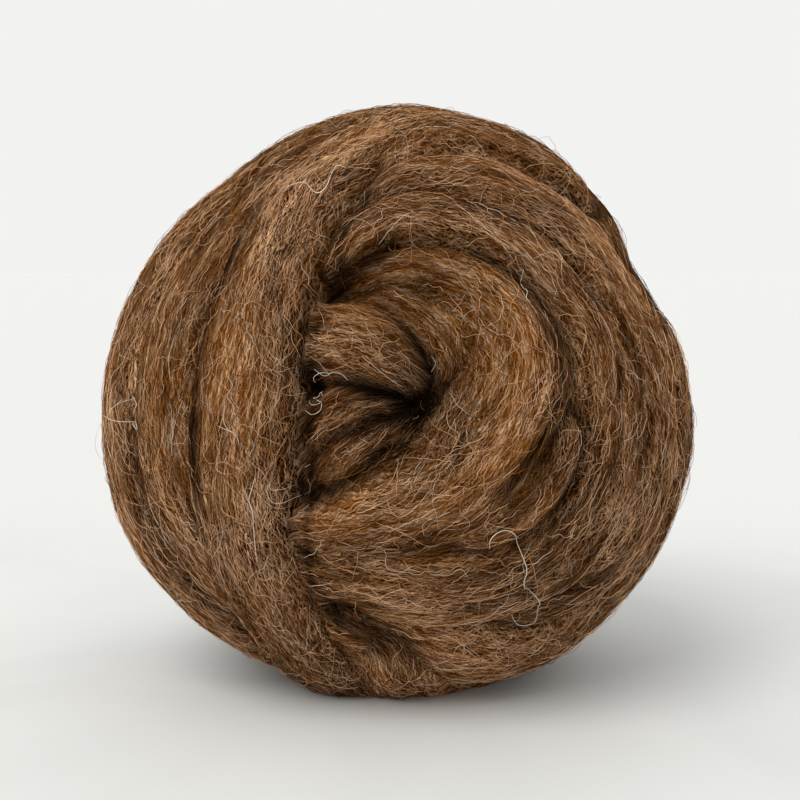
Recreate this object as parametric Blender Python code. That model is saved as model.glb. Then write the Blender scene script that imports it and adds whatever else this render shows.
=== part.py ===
"""A ball of wool roving: one long soft strand wound by hand into a ball that rests on a small flat spot.

Millimetres in the tables, metres in the model, +Z up, the front of the ball towards -Y. The ball is one
closed solid. Every direction from its middle has one height, the highest of the turns that pass there, so the
turns stand out as rounded bands with creases between them, as they do on the real ball.
"""

import math

import bpy
import numpy as np

MM = 0.001

# Driving sizes, in millimetres and degrees
BALL_RADIUS = 73.6
CENTRE_HEIGHT = 67.5
MIDDLE_ACROSS = 0.3
MIDDLE_DEPTH = -0.8
EYE_DISTANCE = 389.0
EYE_RAISED = 5.5

# The strand's section: a flattened oval that leans on its neighbours
SECTION_FLATNESS = 0.27
SECTION_POWER = 2.4
FLANK_SLOPE = 3.5
CREASE_DEPTH = 2.9
CREASE_WIDTH = 1.5

# What shows between turns, the layer below, and the hollow that the eye of the ball lies in
CORE_DROP = 9.0
EYE_DROP = 16.0
EYE_MIDDLE = (4.0, -1.0)
EYE_REACH = 25.0
HOLLOW_MIDDLE = (8.0, 0.0)
HOLLOW_REACH = 21.0
HOLLOW_DEPTH = 10.0

# Where turns have felted together, so that they meet in a soft valley
MERGE_WIDTH = 1.6
MERGES = (
    # across, up, reach, share
    (20, -31, 9, 1.0),
    (28, -24, 7, 0.7),
    (18, 25, 7, 0.8),
    (-68, 8, 14, 0.8),
    (-48, -44, 13, 0.8),
    (-38, 50, 11, 0.7),
    (5, -54, 10, 0.7),
    (-2, -74, 18, 1.0),
    (-18, -46, 9, 0.8),
)

# Mesh
SPHERE_LEVELS = 8
KEPT_SHARE = 0.0348
EVENING_ROUNDS = 12
PATH_STEP = 1.5

# The ball's own roundness: its radius at each clock angle of its outline, 0 right and 90 up from the front
OUTLINE_CLOCK = (0, 15, 30, 45, 65, 90, 110, 130, 150, 180, 205, 230, 250, 270, 290, 310, 330, 345)
OUTLINE_RADIUS = (72.4, 71.2, 67.8, 70.0, 71.6, 73.4, 70.2, 68.0, 70.0,
                  73.4, 75.9, 76.6, 75.8, 74.8, 75.8, 75.0, 74.8, 74.2)


def seen(across, up):
    """Direction of the spot seen so far right of and above the ball's middle, from EYE_DISTANCE away."""
    slant = across * across + up * up + EYE_DISTANCE ** 2
    inside = EYE_DISTANCE ** 4 - slant * (EYE_DISTANCE ** 2 - BALL_RADIUS ** 2)
    reach = (EYE_DISTANCE ** 2 - math.sqrt(max(inside, 0.0))) / slant
    return from_front(reach * across, reach * up, EYE_DISTANCE * (1.0 - reach))


def turned(clock, tilt):
    """Direction at a clock angle, 0 right and 90 up, and a tilt from the front, 90 at the side, 180 behind."""
    spread = math.sin(math.radians(tilt))
    across = spread * math.cos(math.radians(clock))
    up = spread * math.sin(math.radians(clock))
    return from_front(across, up, math.cos(math.radians(tilt)))


def from_front(across, up, forward):
    """The unit vector for a right, up and forward part, the front being raised a little towards the eye."""
    raised = math.radians(EYE_RAISED)
    vector = np.array((across,
                       up * math.sin(raised) - forward * math.cos(raised),
                       up * math.cos(raised) + forward * math.sin(raised)))
    return vector / np.linalg.norm(vector)


def front_turns():
    """The turns that show on the front: closed or not, and rows of place, strand width and height."""
    return {
        # crosses over the left of the front, round below and behind, and back over the top
        "over_band": (True, (
            (seen(-29.5, 46.5), 25, 1.6), (seen(-34, 37), 25, 1.6), (seen(-38, 25), 26, 1.5),
            (seen(-41, 12), 27, 1.4), (seen(-43, -1), 27, 1.4), (seen(-44, -14), 27, 1.4),
            (seen(-43.5, -27), 26, 1.2), (seen(-40.5, -40), 26, 1.0), (seen(-35, -52), 25, 0.8),
            (turned(249, 63), 25, 0.5), (turned(263, 80), 25, 0.5), (turned(279, 95), 25, 0.5),
            (turned(299, 108), 25, 0.8), (turned(320, 116), 25, 1.0), (turned(342, 118), 25, 1.0),
            (turned(3, 113), 25, 0.5), (turned(22, 104), 25, -0.5), (turned(38, 95), 25, 0.6),
            (turned(50, 85), 25, -0.2), (turned(62, 76), 25, -0.8), (turned(73, 69), 25, -1.0),
            (turned(86, 63.5), 25, -0.5), (seen(-16, 61.5), 25, 0.7), (seen(-24, 55.5), 25, 1.4))),
        "left_band": (False, (
            (turned(104, 66), 22, -3.0), (turned(122, 60), 24, -2.4), (turned(140, 54.5), 25, -2.2),
            (turned(160, 52), 26, -2.0), (turned(180, 51.5), 26, -1.9), (turned(200, 52), 26, -1.8),
            (turned(219, 52), 25, -1.6), (turned(236, 54), 25, -1.7), (turned(250, 60), 22, -3.0),
            (turned(264, 70), 20, -5.0))),
        "left_edge_band": (False, (
            (turned(80, 84), 22, -2.0), (turned(104, 80), 24, -1.0), (turned(130, 73), 25, -0.8),
            (turned(155, 71), 26, -0.8), (turned(180, 70.5), 26, -0.6), (turned(205, 70), 26, -0.8),
            (turned(228, 69), 25, -1.2), (turned(246, 72), 24, -2.0), (turned(262, 86), 22, -4.0))),
        "upper_ring": (False, (
            (seen(-16.5, 49), 10, -4.0), (seen(-5.5, 55.5), 12, -2.2), (seen(7, 58.5), 14, -1.3),
            (seen(23, 57.5), 18, -0.9), (seen(37.5, 51), 20, -0.7), (seen(50, 42), 20, -0.6),
            (seen(59, 30), 20, -0.6), (seen(65, 17), 20, -0.6), (seen(68, 5.5), 21, -0.7),
            (seen(69, -4), 22, -1.0), (seen(68.4, -13), 23, -1.0), (seen(65.5, -26), 23, -1.0),
            (seen(59.5, -38.5), 21, -1.2), (seen(51, -48.5), 17, -2.0), (seen(40, -55), 13, -3.0),
            (seen(28, -58.5), 9, -4.5))),
        "ring_sliver": (False, (
            (seen(56, 24), 7, -3.0), (seen(59.5, 13), 9, -1.8), (seen(61.5, 0.5), 10, -1.4),
            (seen(61, -12), 11, -1.4), (seen(58, -24.5), 12, -1.5), (seen(51.5, -37), 13, -1.6),
            (seen(43, -47.5), 12, -1.8), (seen(30, -54), 12, -2.0), (seen(15, -57), 12, -2.2),
            (seen(1, -57.5), 12, -2.5), (seen(-12, -56.5), 12, -2.8), (seen(-24, -53), 11, -3.2),
            (seen(-33, -49), 10, -4.5))),
        "wide_ring": (False, (
            (seen(-22, 38), 9, -4.5), (seen(-13.5, 44), 11, -2.6), (seen(-4, 47.5), 12, -1.6),
            (seen(6, 48), 13, -1.0), (seen(19, 45), 14.5, -0.8), (seen(32.5, 37.5), 17, -0.8),
            (seen(43, 25.5), 18, -0.8), (seen(50, 12), 18, -0.9), (seen(52, -1), 16, -1.0),
            (seen(52, -13), 13, -1.2), (seen(47.5, -26), 15, -1.3), (seen(39, -38), 17, -1.2),
            (seen(27, -46), 19, -1.1), (seen(12.5, -50), 19, -1.2), (seen(-1, -50), 17, -1.6),
            (seen(-13.5, -48.5), 15, -2.2), (seen(-25, -46), 14, -2.8), (seen(-34, -43), 12, -4.0))),
        "inner_ring": (False, (
            (seen(46, 3), 5, -4.5), (seen(45.5, -8.5), 10, -1.8), (seen(41.5, -19), 14, -1.2),
            (seen(34, -28.5), 15, -1.0), (seen(24, -34.5), 13, -1.3), (seen(14, -36), 10, -2.6),
            (seen(4, -35), 8, -6.0))),
        "hook_band": (False, (
            (seen(-18, 33), 9, -7.0), (seen(-11, 36), 10, -6.0), (seen(-2, 38), 12, -4.6),
            (seen(9, 36.5), 16, -3.0), (seen(22, 31), 19, -1.4), (seen(31, 21), 24, -0.2),
            (seen(34, 9), 27, 0.3), (seen(31.5, -3), 28, 0.3), (seen(25.5, -15), 28, 0.1),
            (seen(15.5, -26), 29, -0.2), (seen(3, -32), 23, -0.8), (seen(-9, -35), 16, -1.8),
            (seen(-20.5, -36.5), 11, -2.8), (seen(-31, -37), 10, -4.5))),
        "eye_upper": (False, (
            (seen(-18, 27), 7, -9.0), (seen(-8, 30), 10, -7.4), (seen(3, 27), 14, -5.6),
            (seen(12.5, 19.5), 15, -4.6), (seen(17, 10), 13, -5.0), (seen(16, 2), 9, -7.6),
            (seen(13, -3), 6, -11.0))),
        "eye_left": (False, (
            (seen(-30, 16), 18, -5.5), (seen(-23, 16), 20, -4.2), (seen(-13.5, 15), 22, -3.2),
            (seen(-3, 11), 20, -3.4), (seen(6, 6), 14, -5.6), (seen(11.5, 1.5), 8, -11.0))),
        "eye_lower": (False, (
            (seen(-27, -17), 14, -7.5), (seen(-21.5, -8.5), 15, -5.4), (seen(-13, -3.5), 14, -4.6),
            (seen(-2.5, -2.5), 10, -6.0), (seen(8, -1.5), 6, -12.0))),
        "eye_tail": (False, (
            (seen(-26, -31), 10, -9.0), (seen(-20, -22.5), 14, -6.4), (seen(-12, -15.5), 16, -5.0),
            (seen(-2, -10.5), 13, -6.2), (seen(6.5, -5), 8, -11.0))),
        "low_sliver": (False, (
            (seen(-23, -50), 6, -5.0), (seen(-17, -56), 9, -3.2), (seen(-9, -62), 12, -2.2),
            (seen(-1, -67), 16, -1.0), (turned(273.5, 73), 21, 0.2),
            (turned(283, 84), 21, 0.0), (turned(298, 94), 17, -3.0))),
        "under_ring": (False, (
            (seen(-22, -57), 14, -4.0), (seen(-12, -62), 18, -2.2), (seen(0, -65.5), 21, -1.5),
            (seen(12, -67.3), 22, -0.6), (seen(25, -67.5), 24, 0.0), (turned(302, 74), 24, -0.4),
            (turned(320, 77), 24, -1.0), (turned(340, 79), 24, -1.0), (turned(0, 81), 24, -1.0),
            (turned(18, 84), 24, -2.0), (turned(34, 89), 22, -4.0), (turned(48, 96), 20, -6.0))),
        # crosses over the back, from beside the turns of the left to beside those of the top
        "back_band": (False, (
            (turned(262, 93), 20, -4.5), (turned(240, 96), 23, -2.2), (turned(221, 103), 25, -0.6),
            (turned(207, 115), 26, 0.4), (turned(196, 130), 26, 0.8), (turned(182, 144), 26, 0.9),
            (turned(152, 156), 26, 0.9), (turned(104, 157), 26, 0.9), (turned(77, 146), 26, 0.8),
            (turned(71, 132), 26, 0.4), (turned(76, 118), 26, 0.0), (turned(91, 107), 25, -0.8),
            (turned(110, 101), 23, -2.2), (turned(130, 98), 20, -4.5))),
    }


# The plain turns of the sides and back: each tilts from the front, and leans a little to a clock angle
BACK_TURNS = (
    # tilt, lean, lean_clock, width, height
    (92, 5, 200, 26, -1.2),
    (107, 7, 150, 26, -1.0),
    (122, 9, 80, 26, -1.4),
    (138, 8, 320, 25, -1.2),
    (152, 9, 230, 24, -1.6),
    (165, 6, 60, 20, -3.0),
)


def back_turn(tilt, lean, lean_clock, width, height):
    """One closed turn round the back, on a circle that leans a little out of square with the front."""
    rows = []
    for clock in range(0, 360, 15):
        shifted = tilt + lean * math.cos(math.radians(clock - lean_clock))
        rows.append((turned(clock, shifted), width, height))
    return True, tuple(rows)


def all_turns():
    turns = [smooth_turn(*turn) for turn in front_turns().values()]
    turns += [smooth_turn(*back_turn(*row)) for row in BACK_TURNS]
    return turns


def smooth_turn(closed, rows):
    """A turn as closely spaced points on the unit sphere, each with its tangent, width and height."""
    places = np.array([place for place, _, _ in rows])
    sizes = np.array([(width, height) for _, width, height in rows], dtype=float)
    knots = np.hstack((places, sizes))
    if closed:
        knots = np.vstack((knots[-1:], knots, knots[:2]))
    else:
        knots = np.vstack((2 * knots[:1] - knots[1:2], knots, 2 * knots[-1:] - knots[-2:-1]))
    pieces = []
    for before, start, end, after in zip(knots, knots[1:], knots[2:], knots[3:]):
        length = BALL_RADIUS * np.linalg.norm(end[:3] - start[:3])
        steps = max(2, int(round(length / PATH_STEP)))
        for share in np.arange(steps) / steps:
            pieces.append(catmull_rom(before, start, end, after, share))
    if not closed:
        pieces.append(knots[-2])
    track = np.array(pieces)
    points = track[:, :3] / np.linalg.norm(track[:, :3], axis=1, keepdims=True)
    if closed:
        ahead = np.roll(points, -1, axis=0) - np.roll(points, 1, axis=0)
    else:
        ahead = np.gradient(points, axis=0)
    ahead -= points * (ahead * points).sum(axis=1, keepdims=True)
    tangents = ahead / np.linalg.norm(ahead, axis=1, keepdims=True)
    return {"points": points, "tangents": tangents, "width": track[:, 3], "height": track[:, 4],
            "closed": closed}


def catmull_rom(before, start, end, after, share):
    return 0.5 * (2 * start + (end - before) * share
                  + (2 * before - 5 * start + 4 * end - after) * share ** 2
                  + (3 * start - before - 3 * end + after) * share ** 3)


def turn_height(directions, turn):
    """How high one turn stands over the ball's roundness, falling off steeply past its sides."""
    nearest = np.argmax(directions @ turn["points"].T, axis=1)
    ahead = BALL_RADIUS * (directions * turn["tangents"][nearest]).sum(axis=1)
    side = np.cross(turn["points"][nearest], turn["tangents"][nearest])
    across = BALL_RADIUS * (directions * side).sum(axis=1)
    beyond = np.zeros(len(directions))
    if not turn["closed"]:
        beyond = np.where(nearest == 0, np.maximum(-ahead, 0.0), beyond)
        beyond = np.where(nearest == len(turn["points"]) - 1, np.maximum(ahead, 0.0), beyond)
    half = turn["width"][nearest] / 2
    away = np.hypot(across, beyond)
    share = np.minimum(away / half, 1.0)
    rounding = 1.0 - (1.0 - share ** SECTION_POWER) ** (1.0 / SECTION_POWER)
    height = turn["height"][nearest] - 2 * half * SECTION_FLATNESS * rounding
    height -= FLANK_SLOPE * np.maximum(away - half, 0.0)
    behind = (directions * turn["points"][nearest]).sum(axis=1) < 0.3
    return np.where(behind, -BALL_RADIUS, height)


def roundness(directions):
    """The ball's radius without its turns: its outline's, evened out to front and back, less the eye's hollow."""
    raised = math.radians(EYE_RAISED)
    forward = directions[:, 2] * math.sin(raised) - directions[:, 1] * math.cos(raised)
    up = directions[:, 2] * math.cos(raised) + directions[:, 1] * math.sin(raised)
    clock = np.degrees(np.arctan2(up, directions[:, 0])) % 360
    outline = np.interp(clock, OUTLINE_CLOCK, OUTLINE_RADIUS, period=360)
    sideways = 1.0 - forward ** 2
    hollow = HOLLOW_DEPTH * np.exp(-(distance_from(directions, HOLLOW_MIDDLE) / HOLLOW_REACH) ** 2)
    return BALL_RADIUS + (outline - BALL_RADIUS) * sideways ** 2 - hollow


def distance_from(directions, spot):
    """Distance over the ball from a spot, given as it is seen."""
    return BALL_RADIUS * np.arccos(np.clip(directions @ seen(*spot), -1.0, 1.0))


def core_height(directions):
    """The layer under the turns, lower in the eye of the ball."""
    closeness = np.exp(-(distance_from(directions, EYE_MIDDLE) / EYE_REACH) ** 4)
    return -CORE_DROP - (EYE_DROP - CORE_DROP) * closeness


def joined_height(directions, heights):
    """The height of all the turns together, drawn in where two meet or rounded over where they felted."""
    second, highest = np.sort(heights, axis=0)[-2:]
    drawn = highest - CREASE_DEPTH * np.exp((second - highest) / CREASE_WIDTH)
    rounded = highest + MERGE_WIDTH * np.log(np.exp((heights - highest) / MERGE_WIDTH).sum(axis=0))
    return drawn + (rounded - drawn) * felted_share(directions)


def felted_share(directions):
    """How far the turns have felted into one another in each direction, from 0 to 1."""
    share = np.zeros(len(directions))
    for across, up, reach, most in MERGES:
        near = np.exp(-(distance_from(directions, (across, up)) / reach) ** 4)
        share = np.maximum(share, most * near)
    return share


def surface_radius(directions):
    """The ball's radius in each direction: its roundness and the turns over it."""
    heights = [core_height(directions)] + [turn_height(directions, turn) for turn in all_turns()]
    return roundness(directions) + joined_height(directions, np.array(heights))


def wool_material():
    material = bpy.data.materials.new("brown_wool")
    material.use_nodes = True
    shader = material.node_tree.nodes["Principled BSDF"]
    shader.inputs["Base Color"].default_value = (0.135, 0.068, 0.028, 1.0)
    shader.inputs["Roughness"].default_value = 0.95
    shader.inputs["Metallic"].default_value = 0.0
    return material


def wound_ball():
    """A fine sphere whose points are moved out to the turns, thinned to the faces that its creases need."""
    bpy.ops.mesh.primitive_ico_sphere_add(subdivisions=SPHERE_LEVELS, radius=1.0)
    ball = bpy.context.object
    ball.name = "roving_ball"
    mesh = ball.data
    mesh.name = "roving_ball"
    places = np.empty(3 * len(mesh.vertices), dtype=np.float32)
    mesh.vertices.foreach_get("co", places)
    directions = places.reshape(-1, 3).astype(float)
    directions /= np.linalg.norm(directions, axis=1, keepdims=True)
    middle = np.array((MIDDLE_ACROSS, MIDDLE_DEPTH, CENTRE_HEIGHT))
    points = directions * surface_radius(directions)[:, None] + middle
    mesh.vertices.foreach_set("co", (points * MM).astype(np.float32).ravel())
    mesh.update()
    mesh.shade_smooth()
    mesh.materials.append(wool_material())
    evened = ball.modifiers.new("evened", "SMOOTH")
    evened.factor = 0.5
    evened.iterations = EVENING_ROUNDS
    thinned = ball.modifiers.new("thinned", "DECIMATE")
    thinned.ratio = KEPT_SHARE
    return ball


def flat_spot(ball):
    """Cuts the ball off level where it rests."""
    depth = 30 * MM
    bpy.ops.mesh.primitive_cube_add(size=1.0, location=(0.0, 0.0, -depth / 2))
    cutter = bpy.context.object
    cutter.name = "flat_spot_cutter"
    cutter.dimensions = (4 * BALL_RADIUS * MM, 4 * BALL_RADIUS * MM, depth)
    cutter.hide_render = True
    cutter.display_type = "WIRE"
    cut = ball.modifiers.new("flat_spot", "BOOLEAN")
    cut.operation = "DIFFERENCE"
    cut.solver = "EXACT"
    cut.object = cutter


def main():
    for old in list(bpy.data.objects):
        bpy.data.objects.remove(old)
    flat_spot(wound_ball())


main()
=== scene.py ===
"""The looks of a ball of wool roving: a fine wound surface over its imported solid, and wool fibres along it.

Millimetres in the tables, metres in the scene, +Z up, the front of the ball towards -Y. The turns, their
sizes and the functions up to felted_share follow the solid's own source, so the fine surface has its form,
and every fibre lies along its own turn.
"""

import math

import bpy
import numpy as np
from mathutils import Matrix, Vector


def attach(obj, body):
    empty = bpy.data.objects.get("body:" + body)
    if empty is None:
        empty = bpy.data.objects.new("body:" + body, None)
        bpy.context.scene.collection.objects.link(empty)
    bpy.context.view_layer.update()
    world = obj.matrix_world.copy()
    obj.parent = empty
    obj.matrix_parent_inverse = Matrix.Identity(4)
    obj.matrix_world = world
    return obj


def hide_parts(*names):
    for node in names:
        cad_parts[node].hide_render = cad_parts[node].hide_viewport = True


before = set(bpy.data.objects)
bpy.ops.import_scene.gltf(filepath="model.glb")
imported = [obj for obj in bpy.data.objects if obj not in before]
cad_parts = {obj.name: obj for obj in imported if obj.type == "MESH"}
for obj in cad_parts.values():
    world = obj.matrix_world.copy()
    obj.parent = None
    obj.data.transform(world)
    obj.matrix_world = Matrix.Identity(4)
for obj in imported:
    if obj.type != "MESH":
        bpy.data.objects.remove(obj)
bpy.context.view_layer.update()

MM = 0.001

# The ball, as in the solid's source: millimetres and degrees
BALL_RADIUS = 73.6
MIDDLE = np.array((0.3, -0.8, 67.5))
EYE_DISTANCE = 389.0
EYE_RAISED = 5.5
SECTION_FLATNESS = 0.27
SECTION_POWER = 2.4
FLANK_SLOPE = 3.5
CREASE_DEPTH = 2.9
CREASE_WIDTH = 1.5
CORE_DROP = 9.0
EYE_DROP = 16.0
EYE_MIDDLE = (4.0, -1.0)
EYE_REACH = 25.0
HOLLOW_MIDDLE = (8.0, 0.0)
HOLLOW_REACH = 21.0
HOLLOW_DEPTH = 10.0
MERGE_WIDTH = 1.6
MERGES = (
    # across, up, reach, share
    (20, -31, 9, 1.0),
    (28, -24, 7, 0.7),
    (18, 25, 7, 0.8),
    (-68, 8, 14, 0.8),
    (-48, -44, 13, 0.8),
    (-38, 50, 11, 0.7),
    (5, -54, 10, 0.7),
    (-2, -74, 18, 1.0),
    (-18, -46, 9, 0.8),
)
PATH_STEP = 1.5
LEAST_COSINE = 0.3
OUTLINE_CLOCK = (0, 15, 30, 45, 65, 90, 110, 130, 150, 180, 205, 230, 250, 270, 290, 310, 330, 345)
OUTLINE_RADIUS = (72.4, 71.2, 67.8, 70.0, 71.6, 73.4, 70.2, 68.0, 70.0,
                  73.4, 75.9, 76.6, 75.8, 74.8, 75.8, 75.0, 74.8, 74.2)

# The picture: the camera's frame in pixels, the pixel of the ball's middle and the picture's scale there
PICTURE_SIDE = 800
MIDDLE_PIXEL = (400, 397)
PIXELS_PER_MM = 4.0
SENSOR_WIDTH = 36.0

# The fine surface
GRID_STEPS = 127
FRONT_PULL = 0.2
EVENING_ROUNDS = 5
SURVEY_CHUNK = 20000
STRAND_STRIP = 1000.0
RELIEF = (
    # cell along the strand, cell across it, height, shift from turn to turn, seed
    (70, 16, 0.7, 57, 0),
    (42, 4.6, 0.62, 57, 1),
    (17, 2.3, 0.34, 57, 2),
    (8, 1.5, 0.14, 57, 3),
)

# Painted shade in creases and the eye: from SHADED_DEPTH under the ball's roundness, full DARK_DEPTH below
# that
SHADED_DEPTH = 7.0
DARK_DEPTH = 14.0
CREASE_SHADES = (
    # darkness in the crease, reach
    (0.7, 1.4),
    (0.3, 4.0),
)

# Fibres, joined into pieces of up to 200,000 triangles: where fewer lie, where they end and how they vary
FIBRE_PULL = 0.3
HIDDEN_THINNING = 0.9
DARK_THINNING = 0.6
COVER_HEIGHT = 0.8
CUT_SHADING = 0.7
CRIMP_LENGTH_SPREAD = (0.7, 1.4)
CRIMP_SPREAD = (0.2, 1.5)
THICKNESS_SPREAD = (0.6, 1.3)
LIFT_SHAPE = 1.6
LIFT_UNEVENNESS = 0.4
LEAST_LIFT = 0.03
TIP_DEPTH = 0.3
FIBRE_KINDS = (
    # piece, count, shortest, longest, rings, thickness, slant, crimp, crimp length, wander, lift, loose, seed
    ("combed_fibres_1", 2900, 8, 16, 12, 0.110, 0.17, 0.32, 3.3, 0.12, 0.15, False, 11),
    ("combed_fibres_2", 3200, 7, 14, 11, 0.105, 0.28, 0.36, 3.1, 0.15, 0.24, False, 12),
    ("crossed_fibres", 3200, 6, 13, 11, 0.100, 0.45, 0.42, 3.0, 0.24, 0.30, False, 13),
    ("curled_fibres", 1850, 7, 18, 18, 0.095, 0.95, 0.24, 4.0, 0.55, 0.36, True, 14),
)

# Warmer patches of the wool: where they are seen, how far they reach and how warm
WARM_PATCHES = (
    # across, up, reach across, reach up, warmth
    (-44, 18, 7, 34, 0.7),
    (-58, 6, 8, 12, 0.4),
    (-5, 34, 16, 10, 0.8),
    (14, 20, 12, 12, 0.5),
    (27, 12, 8, 14, 0.7),
    (-18, -26, 8, 12, 0.8),
    (33, -20, 9, 14, 0.6),
    (20, 59, 14, 7, 0.5),
    (60, 25, 5, 20, 0.3),
    (10, -42, 18, 5, 0.3),
    (-27, 52, 16, 8, -0.7),
    (20, 46, 24, 5, -0.6),
    (46, -10, 6, 20, -0.5),
    (-48, -38, 12, 12, -0.6),
    (-34, -28, 6, 18, -0.5),
    (18, -12, 10, 6, -0.4),
    (-30, 25, 5, 30, -0.4),
    (35, -48, 8, 8, -0.6),
    (58, -34, 9, 16, -0.6),
    (-12, -16, 8, 7, -0.4),
)

# Patches of painted light and shade on the front, as a lighter top and underside, partly the wool's own tone
PAINTED_LIGHT_AND_TONE_PATCHES = (
    # across, up, reach across, reach up, lightness
    (-22, 53, 14, 9, 0.7),
    (0, 64, 26, 6, 0.4),
    (54, 43, 8, 8, 0.6),
    (30, 13, 7, 12, 0.15),
    (16, 46, 20, 6, -0.3),
    (-44, -42, 12, 12, 0.3),
    (12, -51, 22, 6, 0.5),
    (6, -64, 28, 9, 1.0),
    (17, -24, 13, 7, -0.3),
    (-11, -4, 13, 4, 0.6),
    (58, -34, 9, 16, 0.3),
)

# Painted shade along the seams between the turns: darkness and reach to each side, then pixels of the picture
PAINTED_SEAM_SHADES = (
    (1.3, 7, ((232, 240), (205, 300), (194, 345), (186, 400), (190, 450), (194, 480))),
    (1.0, 6, ((366, 185), (335, 230), (325, 270), (302, 340), (302, 385), (293, 450), (295, 500), (305, 580),
              (335, 640))),
    (1.2, 8, ((325, 280), (355, 247), (395, 232))),
    (0.5, 5, ((395, 232), (440, 237), (500, 255))),
    (1.0, 5, ((530, 290), (562, 345), (573, 385), (558, 430), (508, 500))),
    (0.9, 5, ((440, 188), (500, 205), (555, 233), (590, 262))),
    (0.6, 4, ((635, 312), (652, 350), (656, 375), (661, 430), (650, 475))),
    (0.6, 4, ((420, 158), (500, 149), (545, 160))),
    (0.5, 4, ((583, 400), (600, 450))),
    (0.6, 4, ((632, 380), (625, 450), (607, 505), (583, 550))),
    (0.5, 4, ((612, 540), (575, 580), (560, 600))),
    (0.7, 6, ((485, 640), (540, 638), (610, 600))),
    (0.6, 5, ((335, 550), (440, 563), (490, 558))),
    (0.5, 5, ((345, 290), (390, 310), (440, 345), (440, 400))),
    (0.5, 5, ((420, 265), (470, 300))),
    (0.3, 4, ((303, 375), (400, 400))),
    (1.0, 7, ((400, 457), (380, 467), (345, 490), (305, 507))),
    (1.2, 9, ((300, 368), (300, 384))),
    (1.2, 9, ((300, 498), (318, 508))),
    (1.0, 9, ((370, 464), (390, 460))),
    (1.2, 10, ((322, 264), (338, 248))),
)

# Pale coarse fibres: lift over the surface, thickness, then pixels of the picture
PALE_FIBRES = (
    (0.5, 0.22, ((283, 197), (290, 188), (305, 184), (313, 192), (320, 193), (327, 186), (333, 172),
                 (338, 166), (346, 168))),
    (0.4, 0.21, ((255, 478), (252, 490), (250, 500), (254, 512), (255, 525), (257, 545), (258, 560))),
    (0.5, 0.21, ((493, 558), (491, 545), (495, 537), (505, 532), (515, 535), (521, 545), (523, 555),
                 (527, 570), (524, 582), (527, 592), (538, 600), (544, 610), (543, 622), (538, 632),
                 (528, 638), (520, 632), (516, 622))),
    (0.4, 0.15, ((528, 265), (530, 280), (534, 285), (530, 295), (535, 300))),
    (0.8, 0.16, ((105, 415), (115, 422), (125, 425), (132, 430), (130, 420))),
    (0.9, 0.15, ((108, 420), (114, 403), (124, 396), (131, 404), (127, 414))),
    (0.4, 0.14, ((222, 425), (232, 430), (238, 434), (241, 445))),
    (0.4, 0.14, ((229, 402), (228, 420), (231, 428), (236, 432))),
    (0.6, 0.15, ((320, 370), (310, 370), (300, 376), (295, 388), (298, 398), (306, 396), (305, 387))),
    (0.7, 0.14, ((309, 404), (300, 406), (293, 400), (297, 391), (306, 390), (311, 396))),
    (0.6, 0.14, ((304, 366), (314, 373), (324, 369), (333, 371), (340, 378))),
    (0.5, 0.14, ((291, 412), (299, 417), (308, 413), (310, 404), (303, 400))),
    (0.5, 0.13, ((231, 376), (236, 386), (231, 396), (237, 407), (234, 420))),
    (0.5, 0.13, ((446, 376), (442, 366), (446, 354), (440, 344))),
)
PALE_RINGS = 36
PALE_SHADE = 0.995

# The wool's colours, and what share of the fibres is dark, brown, orange, grey tan and cream
DARK_BROWN = (0.011, 0.0034, 0.0012)
BROWN = (0.048, 0.0125, 0.003)
LIGHT_BROWN = (0.200, 0.065, 0.014)
ORANGE = (0.405, 0.150, 0.028)
GREY_TAN = (0.840, 0.510, 0.285)
CREAM = (0.940, 0.860, 0.730)
COLOUR_COLUMNS = 60
# Painted shade on the fibres: the dark group of the map, and how often fibres deep in creases and the eye take
# it
PAINTED_SHADE_GROUP = 0.4
PAINTED_SHADE_SHARE = 0.8
FIBRE_SHADES = (
    # share, more in dark wool and painted shade, more in warm wool, by lightness and painted light
    (0.05, 0.25, 0.0, 0.0),
    (0.30, 0.20, 0.0, 0.0),
    (0.14, 0.0, 0.24, 0.0),
    (0.38, 0.0, -0.18, 0.5),
    (0.055, 0.0, 0.0, 0.7),
)

# Warmer and cooler, lighter and darker streaks along the strand, on all sides of the ball
MEAN_WARMTH = 0.45
PATCH_WARMTH = 1.1
WARM_STREAKS = (
    # cell along the strand, cell across it, amount, shift from turn to turn, seed
    (45, 6, 0.30, 57, 21),
    (20, 2.5, 0.15, 0, 22),
)
TONE_STREAKS = (
    # the same columns
    (38, 3.6, 0.5, 57, 31),
    (20, 1.7, 0.4, 57, 32),
    (60, 9, 0.5, 57, 33),
)

# Lines of fibre in the packed wool: how far they drift, and the length and sway of a tight and a loose crimp
LINE_DRIFT = 1.3
LINE_CRIMPS = ((2.6, 0.10), (4.2, 0.18))
LINE_LAYERS = (
    # slant in radians, spacing, width, how light
    (0.03, 0.56, 0.16, 0.60),
    (-0.08, 0.62, 0.16, 1.00),
    (0.14, 0.68, 0.16, 0.80),
    (-0.20, 0.76, 0.16, 0.95),
    (0.06, 0.72, 0.14, 1.00),
    (0.30, 0.86, 0.15, 0.60),
    (-0.42, 0.96, 0.15, 0.75),
    (0.70, 1.50, 0.14, 0.45),
    (-0.85, 1.70, 0.14, 0.55),
)

# The packed wool's brightness at its darkest and lightest tone and painted light, and in full painted crease
# shade
PAINTED_LIGHT_AND_TONE_RANGE = (0.08, 1.32)
CREASE_LIGHT = 0.10

# The stage: the floor's veins, the floor beside them and behind the ball, the key light, and the light
# from all round in front and behind
VEIN_COLOUR = (0.71, 0.72, 0.71)
FLOOR_COLOUR = (0.76, 0.77, 0.76)
FAR_FLOOR_COLOUR = (0.742, 0.747, 0.742)
KEY_LIGHT_PLACE = (-0.45, -0.55, 0.85)
KEY_LIGHT_SPREAD = 42.0
KEY_LIGHT_STRENGTH = 1.55
KEY_LIGHT_COLOUR = (1.0, 0.98, 0.95)
SKY_STRENGTH = (0.78, 0.89)


# ---------------- the turns, as wound

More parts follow.
